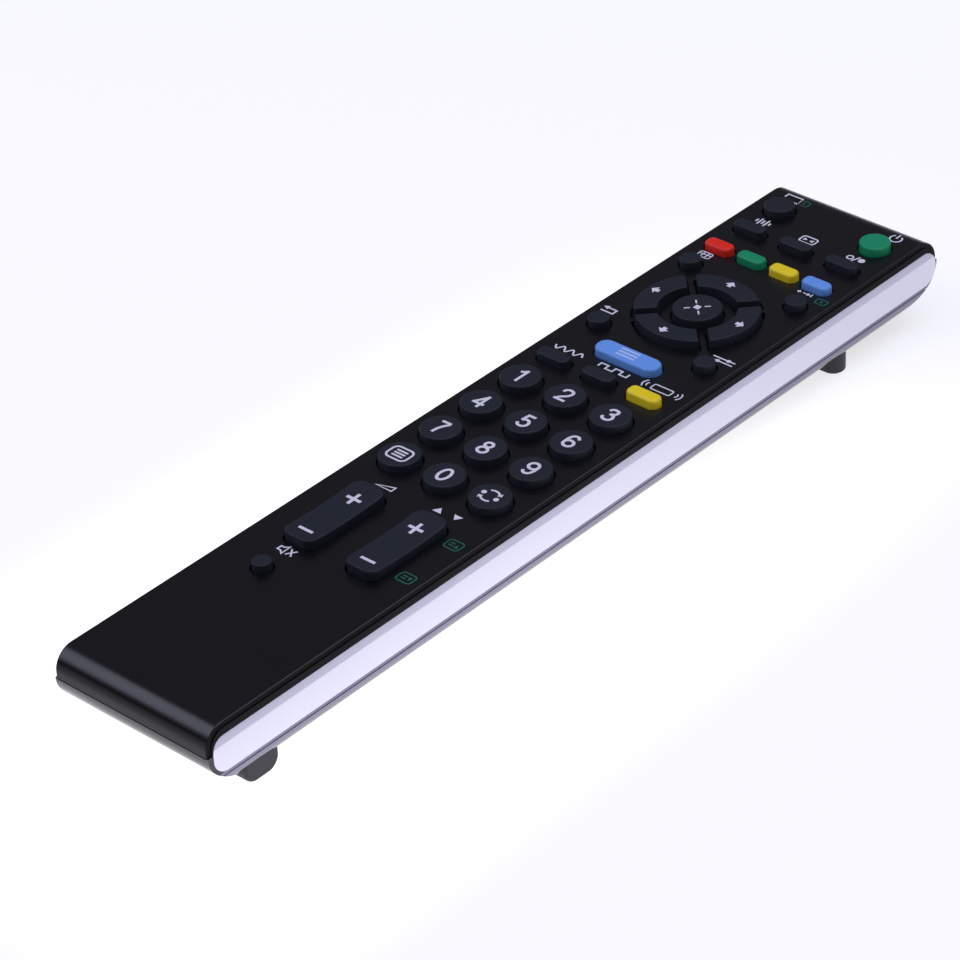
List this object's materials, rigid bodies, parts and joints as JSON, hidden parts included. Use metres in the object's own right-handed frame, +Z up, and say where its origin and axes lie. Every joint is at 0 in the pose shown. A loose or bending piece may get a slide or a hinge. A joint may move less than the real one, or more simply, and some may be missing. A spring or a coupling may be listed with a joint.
{
  "type": "tv remote control",
  "caption": "Long slim hand-held remote control with round number keys, a direction ring, rocker keys, bright side strips, two cross feet and a hinged battery cover.",
  "frame": {"origin": "under the middle of the case, on the surface that the two feet stand on", "axes": "+X across the case to the right, +Y along the case to the infrared window, +Z up out of the keys"},
  "size_m": [0.0432, 0.2372, 0.0239],
  "materials": {
    "gloss_panel": "glossy black",
    "lower_case": "satin gloss black",
    "silver_strip": "silver paint",
    "infrared_window": "very dark red, polished",
    "black_key": "satin black",
    "red_key": "satin red",
    "green_key": "satin green",
    "yellow_key": "satin yellow",
    "blue_key": "satin blue",
    "foot": "dark grey with a purple cast",
    "keypad_mat": "grey silicone",
    "circuit_board": "phenolic paper board",
    "screw_steel": "zinc plated",
    "emitter": "clear bluish resin",
    "chip": "moulded epoxy",
    "capacitor": "shrink sleeve",
    "cell": "grey printed jacket",
    "contact": "nickel plated"
  },
  "bodies": {
    "case": {"top_shell": "gloss_panel", "bottom_shell": "lower_case", "left_side_trim": "silver_strip", "right_side_trim": "silver_strip", "infrared_window": "infrared_window", "near_foot": "foot", "far_foot": "foot", "keypad_mat": "keypad_mat", "circuit_board": "circuit_board", "board_screws": "screw_steel", "infrared_emitter": "emitter", "control_chip": "chip", "resonator": "chip", "capacitor": "capacitor", "battery_left": "cell", "battery_right": "cell", "positive_contact": "contact", "negative_contact": "contact", "bridge_contact": "contact"},
    "number_1_key_body": {"number_1_key": "black_key"},
    "number_2_key_body": {"number_2_key": "black_key"},
    "number_3_key_body": {"number_3_key": "black_key"},
    "number_4_key_body": {"number_4_key": "black_key"},
    "number_5_key_body": {"number_5_key": "black_key"},
    "number_6_key_body": {"number_6_key": "black_key"},
    "number_7_key_body": {"number_7_key": "black_key"},
    "number_8_key_body": {"number_8_key": "black_key"},
    "number_9_key_body": {"number_9_key": "black_key"},
    "number_0_key_body": {"number_0_key": "black_key"},
    "text_key_body": {"text_key": "black_key"},
    "jump_key_body": {"jump_key": "black_key"},
    "up_key_body": {"up_key": "black_key"},
    "left_key_body": {"left_key": "black_key"},
    "down_key_body": {"down_key": "black_key"},
    "right_key_body": {"right_key": "black_key"},
    "select_key_body": {"select_key": "black_key"},
    "guide_key_body": {"guide_key": "black_key"},
    "info_key_body": {"info_key": "black_key"},
    "return_key_body": {"return_key": "black_key"},
    "tools_key_body": {"tools_key": "black_key"},
    "red_key_body": {"red_key": "red_key"},
    "green_key_body": {"green_key": "green_key"},
    "yellow_key_body": {"yellow_key": "yellow_key"},
    "blue_key_body": {"blue_key": "blue_key"},
    "sound_mode_key_body": {"sound_mode_key": "black_key"},
    "screen_mode_key_body": {"screen_mode_key": "black_key"},
    "dual_sound_key_body": {"dual_sound_key": "black_key"},
    "analog_key_body": {"analog_key": "black_key"},
    "digital_key_body": {"digital_key": "black_key"},
    "theatre_key_body": {"theatre_key": "yellow_key"},
    "menu_key_body": {"menu_key": "blue_key"},
    "input_key_body": {"input_key": "black_key"},
    "power_key_body": {"power_key": "green_key"},
    "mute_key_body": {"mute_key": "black_key"},
    "volume_rocker_body": {"volume_rocker": "black_key"},
    "channel_rocker_body": {"channel_rocker": "black_key"},
    "battery_cover_body": {"battery_cover": "lower_case"}
  },
  "joints": [
    {"name": "number_1_key_press", "type": "slide", "parent": "case", "child": "number_1_key_body", "axis": [0, 0, 1], "range_m": [-0.0008, 0], "stiffness_N_per_m": 300},
    {"name": "number_2_key_press", "type": "slide", "parent": "case", "child": "number_2_key_body", "axis": [0, 0, 1], "range_m": [-0.0008, 0], "stiffness_N_per_m": 300},
    {"name": "number_3_key_press", "type": "slide", "parent": "case", "child": "number_3_key_body", "axis": [0, 0, 1], "range_m": [-0.0008, 0], "stiffness_N_per_m": 300},
    {"name": "number_4_key_press", "type": "slide", "parent": "case", "child": "number_4_key_body", "axis": [0, 0, 1], "range_m": [-0.0008, 0], "stiffness_N_per_m": 300},
    {"name": "number_5_key_press", "type": "slide", "parent": "case", "child": "number_5_key_body", "axis": [0, 0, 1], "range_m": [-0.0008, 0], "stiffness_N_per_m": 300},
    {"name": "number_6_key_press", "type": "slide", "parent": "case", "child": "number_6_key_body", "axis": [0, 0, 1], "range_m": [-0.0008, 0], "stiffness_N_per_m": 300},
    {"name": "number_7_key_press", "type": "slide", "parent": "case", "child": "number_7_key_body", "axis": [0, 0, 1], "range_m": [-0.0008, 0], "stiffness_N_per_m": 300},
    {"name": "number_8_key_press", "type": "slide", "parent": "case", "child": "number_8_key_body", "axis": [0, 0, 1], "range_m": [-0.0008, 0], "stiffness_N_per_m": 300},
    {"name": "number_9_key_press", "type": "slide", "parent": "case", "child": "number_9_key_body", "axis": [0, 0, 1], "range_m": [-0.0008, 0], "stiffness_N_per_m": 300},
    {"name": "number_0_key_press", "type": "slide", "parent": "case", "child": "number_0_key_body", "axis": [0, 0, 1], "range_m": [-0.0008, 0], "stiffness_N_per_m": 300},
    {"name": "text_key_press", "type": "slide", "parent": "case", "child": "text_key_body", "axis": [0, 0, 1], "range_m": [-0.0008, 0], "stiffness_N_per_m": 300},
    {"name": "jump_key_press", "type": "slide", "parent": "case", "child": "jump_key_body", "axis": [0, 0, 1], "range_m": [-0.0008, 0], "stiffness_N_per_m": 300},
    {"name": "up_key_press", "type": "slide", "parent": "case", "child": "up_key_body", "axis": [0, 0, 1], "range_m": [-0.0008, 0], "stiffness_N_per_m": 300},
    {"name": "left_key_press", "type": "slide", "parent": "case", "child": "left_key_body", "axis": [0, 0, 1], "range_m": [-0.0008, 0], "stiffness_N_per_m": 300},
    {"name": "down_key_press", "type": "slide", "parent": "case", "child": "down_key_body", "axis": [0, 0, 1], "range_m": [-0.0008, 0], "stiffness_N_per_m": 300},
    {"name": "right_key_press", "type": "slide", "parent": "case", "child": "right_key_body", "axis": [0, 0, 1], "range_m": [-0.0008, 0], "stiffness_N_per_m": 300},
    {"name": "select_key_press", "type": "slide", "parent": "case", "child": "select_key_body", "axis": [0, 0, 1], "range_m": [-0.0008, 0], "stiffness_N_per_m": 300},
    {"name": "guide_key_press", "type": "slide", "parent": "case", "child": "guide_key_body", "axis": [0, 0, 1], "range_m": [-0.0008, 0], "stiffness_N_per_m": 300},
    {"name": "info_key_press", "type": "slide", "parent": "case", "child": "info_key_body", "axis": [0, 0, 1], "range_m": [-0.0008, 0], "stiffness_N_per_m": 300},
    {"name": "return_key_press", "type": "slide", "parent": "case", "child": "return_key_body", "axis": [0, 0, 1], "range_m": [-0.0008, 0], "stiffness_N_per_m": 300},
    {"name": "tools_key_press", "type": "slide", "parent": "case", "child": "tools_key_body", "axis": [0, 0, 1], "range_m": [-0.0008, 0], "stiffness_N_per_m": 300},
    {"name": "red_key_press", "type": "slide", "parent": "case", "child": "red_key_body", "axis": [0, 0, 1], "range_m": [-0.0008, 0], "stiffness_N_per_m": 300},
    {"name": "green_key_press", "type": "slide", "parent": "case", "child": "green_key_body", "axis": [0, 0, 1], "range_m": [-0.0008, 0], "stiffness_N_per_m": 300},
    {"name": "yellow_key_press", "type": "slide", "parent": "case", "child": "yellow_key_body", "axis": [0, 0, 1], "range_m": [-0.0008, 0], "stiffness_N_per_m": 300},
    {"name": "blue_key_press", "type": "slide", "parent": "case", "child": "blue_key_body", "axis": [0, 0, 1], "range_m": [-0.0008, 0], "stiffness_N_per_m": 300},
    {"name": "sound_mode_key_press", "type": "slide", "parent": "case", "child": "sound_mode_key_body", "axis": [0, 0, 1], "range_m": [-0.0008, 0], "stiffness_N_per_m": 300},
    {"name": "screen_mode_key_press", "type": "slide", "parent": "case", "child": "screen_mode_key_body", "axis": [0, 0, 1], "range_m": [-0.0008, 0], "stiffness_N_per_m": 300},
    {"name": "dual_sound_key_press", "type": "slide", "parent": "case", "child": "dual_sound_key_body", "axis": [0, 0, 1], "range_m": [-0.0008, 0], "stiffness_N_per_m": 300},
    {"name": "analog_key_press", "type": "slide", "parent": "case", "child": "analog_key_body", "axis": [0, 0, 1], "range_m": [-0.0008, 0], "stiffness_N_per_m": 300},
    {"name": "digital_key_press", "type": "slide", "parent": "case", "child": "digital_key_body", "axis": [0, 0, 1], "range_m": [-0.0008, 0], "stiffness_N_per_m": 300},
    {"name": "theatre_key_press", "type": "slide", "parent": "case", "child": "theatre_key_body", "axis": [0, 0, 1], "range_m": [-0.0008, 0], "stiffness_N_per_m": 300},
    {"name": "menu_key_press", "type": "slide", "parent": "case", "child": "menu_key_body", "axis": [0, 0, 1], "range_m": [-0.0008, 0], "stiffness_N_per_m": 300},
    {"name": "input_key_press", "type": "slide", "parent": "case", "child": "input_key_body", "axis": [0, 0, 1], "range_m": [-0.0008, 0], "stiffness_N_per_m": 300},
    {"name": "power_key_press", "type": "slide", "parent": "case", "child": "power_key_body", "axis": [0, 0, 1], "range_m": [-0.0008, 0], "stiffness_N_per_m": 300},
    {"name": "mute_key_press", "type": "slide", "parent": "case", "child": "mute_key_body", "axis": [0, 0, 1], "range_m": [-0.0008, 0], "stiffness_N_per_m": 300},
    {"name": "volume_rocker_tilt", "type": "hinge", "parent": "case", "child": "volume_rocker_body", "pos_m": [-0.0087, -0.0503, 0.01815], "axis": [1, 0, 0], "range_deg": [-3.5, 3.5], "stiffness_Nm_per_rad": 0.15},
    {"name": "channel_rocker_tilt", "type": "hinge", "parent": "case", "child": "channel_rocker_body", "pos_m": [0.0087, -0.0503, 0.01815], "axis": [1, 0, 0], "range_deg": [-3.5, 3.5], "stiffness_Nm_per_rad": 0.15},
    {"name": "battery_cover_hinge", "type": "hinge", "parent": "case", "child": "battery_cover_body", "pos_m": [0, -0.036, 0.005], "axis": [1, 0, 0], "range_deg": [0, 50]}
  ]
}
